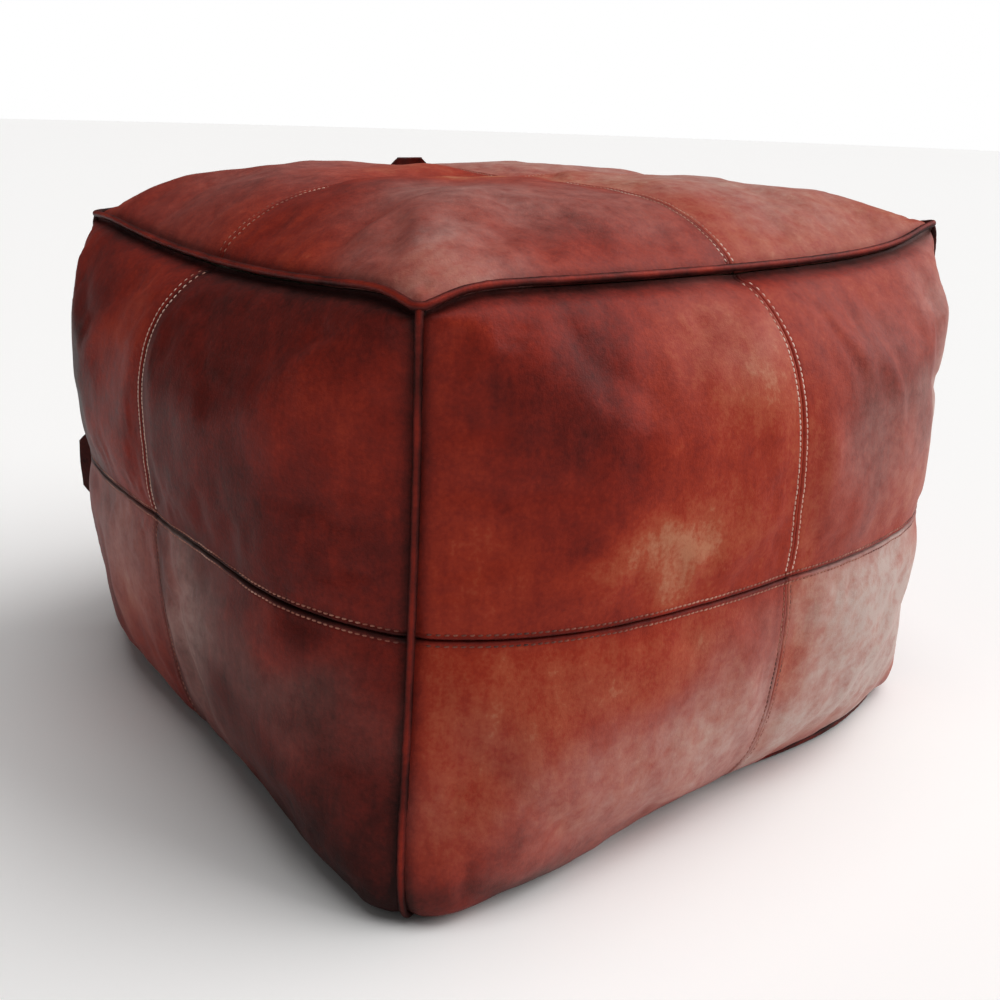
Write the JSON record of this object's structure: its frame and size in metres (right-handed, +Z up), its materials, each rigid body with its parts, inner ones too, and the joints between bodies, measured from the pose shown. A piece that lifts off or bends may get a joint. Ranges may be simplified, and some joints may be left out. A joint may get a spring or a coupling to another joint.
{
  "type": "leather pouf",
  "caption": "Square stuffed leather pouf with quartered panels, piped edges, a domed top and a zipped base.",
  "frame": {"origin": "middle of the base, on the floor", "axes": "+Z up, the front faces -Y, the zip runs along Y"},
  "size_m": [0.541, 0.541, 0.3712],
  "materials": {
    "top_leather": "glazed, hand dyed, mottled",
    "side_leather": "glazed, hand dyed, mottled",
    "base_leather": "plain matt",
    "welt_leather": "glazed",
    "tab_leather": "glazed",
    "welt_cord": "twisted cotton",
    "thread": "waxed thread",
    "liner_cloth": "plain calico",
    "filling": "packed fibre",
    "zip_tape": "woven",
    "zip_coil": "satin",
    "zip_metal": "antique"
  },
  "bodies": {
    "cover": {"top_panel_front_left": "top_leather", "top_panel_front_right": "top_leather", "top_panel_back_right": "top_leather", "top_panel_back_left": "top_leather", "front_panel_upper_left": "side_leather", "front_panel_upper_right": "side_leather", "front_panel_lower_left": "side_leather", "front_panel_lower_right": "side_leather", "right_panel_upper_left": "side_leather", "right_panel_upper_right": "side_leather", "right_panel_lower_left": "side_leather", "right_panel_lower_right": "side_leather", "back_panel_upper_left": "side_leather", "back_panel_upper_right": "side_leather", "back_panel_lower_left": "side_leather", "back_panel_lower_right": "side_leather", "left_panel_upper_left": "side_leather", "left_panel_upper_right": "side_leather", "left_panel_lower_left": "side_leather", "left_panel_lower_right": "side_leather", "base_panel_left": "base_leather", "base_panel_right": "base_leather", "top_welt": "welt_leather", "base_welt": "welt_leather", "corner_welt_front_left": "welt_leather", "corner_welt_front_right": "welt_leather", "corner_welt_back_right": "welt_leather", "corner_welt_back_left": "welt_leather", "top_welt_cord": "welt_cord", "base_welt_cord": "welt_cord", "corner_welt_cord_front_left": "welt_cord", "corner_welt_cord_front_right": "welt_cord", "corner_welt_cord_back_right": "welt_cord", "corner_welt_cord_back_left": "welt_cord", "topstitching_top": "thread", "topstitching_front": "thread", "topstitching_right": "thread", "topstitching_back": "thread", "topstitching_left": "thread", "topstitching_base": "thread", "liner_bag": "liner_cloth", "filling": "filling", "zip_tape_left": "zip_tape", "zip_tape_right": "zip_tape", "zip_coil_left": "zip_coil", "zip_coil_right": "zip_coil", "zip_top_stops": "zip_metal", "zip_bottom_stop": "zip_metal", "back_tab": "tab_leather", "corner_tab": "tab_leather"},
    "slider": {"zip_slider": "zip_metal"},
    "pull": {"zip_pull": "zip_metal"}
  },
  "joints": [
    {"name": "zip_slide", "type": "slide", "parent": "cover", "child": "slider", "axis": [0, -1, 0], "range_m": [0, 0.3214]},
    {"name": "pull_hinge", "type": "hinge", "parent": "slider", "child": "pull", "pos_m": [0, 0.1607, 0.00569], "axis": [1, 0, 0], "range_deg": [0, 166]}
  ]
}
